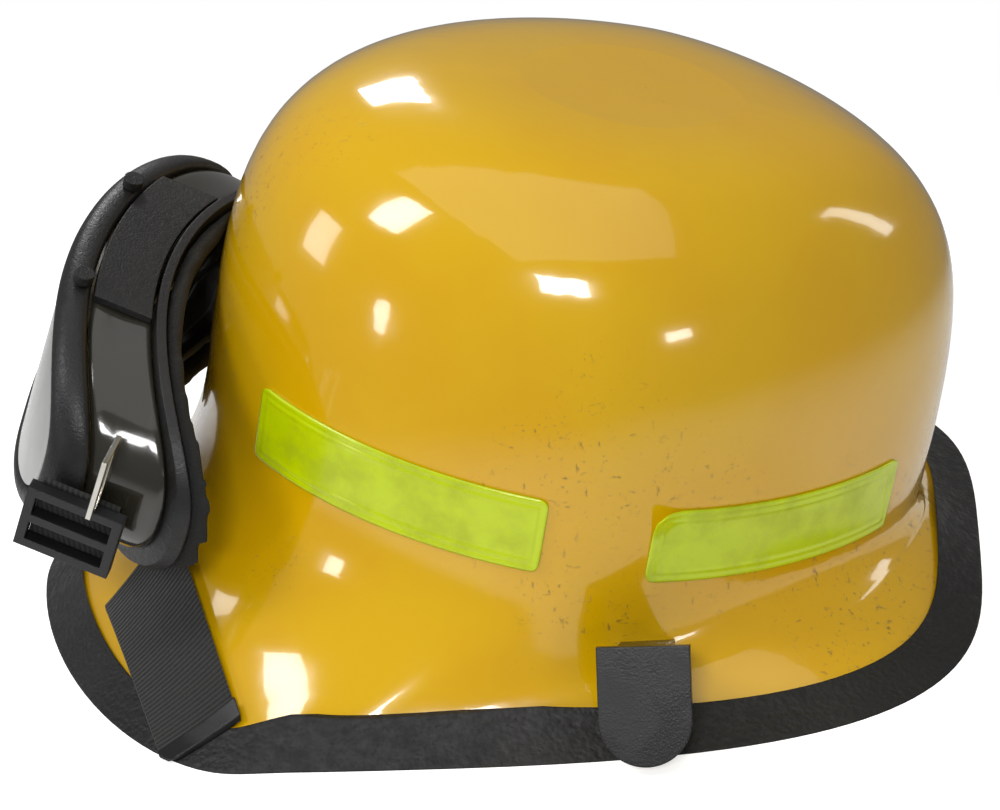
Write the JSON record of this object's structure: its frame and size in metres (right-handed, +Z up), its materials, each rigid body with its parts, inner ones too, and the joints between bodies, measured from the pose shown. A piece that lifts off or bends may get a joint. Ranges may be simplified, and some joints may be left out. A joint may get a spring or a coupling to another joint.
{
  "type": "forestry helmet",
  "caption": "Full-brim forestry helmet with a suspension cradle, a ratchet, a stowed chin strap, side clips, reflective tapes and goggles that lie against its front.",
  "frame": {"origin": "middle of the brim's length and width, in the plane that the edge trim stands on", "axes": "+X towards the rear, +Y towards the wearer's right, +Z up through the crown"},
  "size_m": [0.3123, 0.2672, 0.1777],
  "materials": {
    "shell_yellow": "glossy",
    "trim_rubber": "matte",
    "clip_black": "satin",
    "steel": "brushed",
    "tape_lime": "satin",
    "liner_foam": "matte",
    "band_plastic": "satin",
    "pad_fabric": "matte",
    "webbing": "matte",
    "goggle_rubber": "satin",
    "lens_clear": "glossy",
    "goggle_smoke": "glossy",
    "foam_dark": "matte",
    "nickel": "polished"
  },
  "bodies": {
    "helmet": {"brow_pad": "pad_fabric", "buckle_socket": "clip_black", "chin_anchors": "clip_black", "chin_strap_left": "webbing", "chin_strap_right": "webbing", "clip_screws": "steel", "crown_pad": "pad_fabric", "crown_strap_lower": "webbing", "crown_strap_upper": "webbing", "edge_trim": "trim_rubber", "headband": "band_plastic", "impact_liner": "liner_foam", "nape_band": "band_plastic", "nape_pad": "pad_fabric", "ratchet_housing": "clip_black", "shell": "shell_yellow", "side_clip_left": "clip_black", "side_clip_right": "clip_black", "strap_keys": "band_plastic", "tape_front_left": "tape_lime", "tape_front_right": "tape_lime", "tape_rear_left": "tape_lime", "tape_rear_right": "tape_lime"},
    "goggles": {"goggle_body": "goggle_smoke", "goggle_flange": "goggle_rubber", "goggle_foam": "foam_dark", "goggle_frame": "goggle_rubber", "goggle_lens": "lens_clear", "goggle_strap_left": "webbing", "goggle_strap_right": "webbing", "goggle_vent_cover": "goggle_rubber", "ladder_lock_left": "clip_black", "ladder_lock_right": "clip_black", "lens_tabs": "goggle_rubber", "strap_loop_left": "nickel", "strap_loop_right": "nickel", "strap_tail_left": "webbing", "strap_tip_left": "clip_black"},
    "ratchet": {"ratchet_pinion": "clip_black", "ratchet_knob": "clip_black", "knob_screw": "steel"},
    "rack_left": {"rack_tail_left": "band_plastic"},
    "rack_right": {"rack_tail_right": "band_plastic"},
    "chin_tongue": {"buckle_tongue": "clip_black"}
  },
  "joints": [
    {"name": "goggles_lift", "type": "slide", "parent": "helmet", "child": "goggles", "axis": [-0.5, 0, 0.866], "range_m": [0, 0.12]},
    {"name": "ratchet_turn", "type": "hinge", "parent": "helmet", "child": "ratchet", "pos_m": [0.11511, 0, 0.01857], "axis": [0.9746, 0, -0.2241], "range_deg": [-90, 60]},
    {"name": "rack_left_slide", "type": "slide", "parent": "helmet", "child": "rack_left", "axis": [0, -1, 0], "range_m": [-0.00785, 0.00524]},
    {"name": "rack_right_slide", "type": "slide", "parent": "helmet", "child": "rack_right", "axis": [0, 1, 0], "range_m": [-0.00785, 0.00524]},
    {"name": "chin_release", "type": "slide", "parent": "helmet", "child": "chin_tongue", "axis": [0, 1, 0], "range_m": [0, 0.02]}
  ],
  "couplings": [
    {"joint": "rack_left_slide", "follows": "ratchet_turn", "m_per_rad": 0.005},
    {"joint": "rack_right_slide", "follows": "ratchet_turn", "m_per_rad": 0.005}
  ]
}
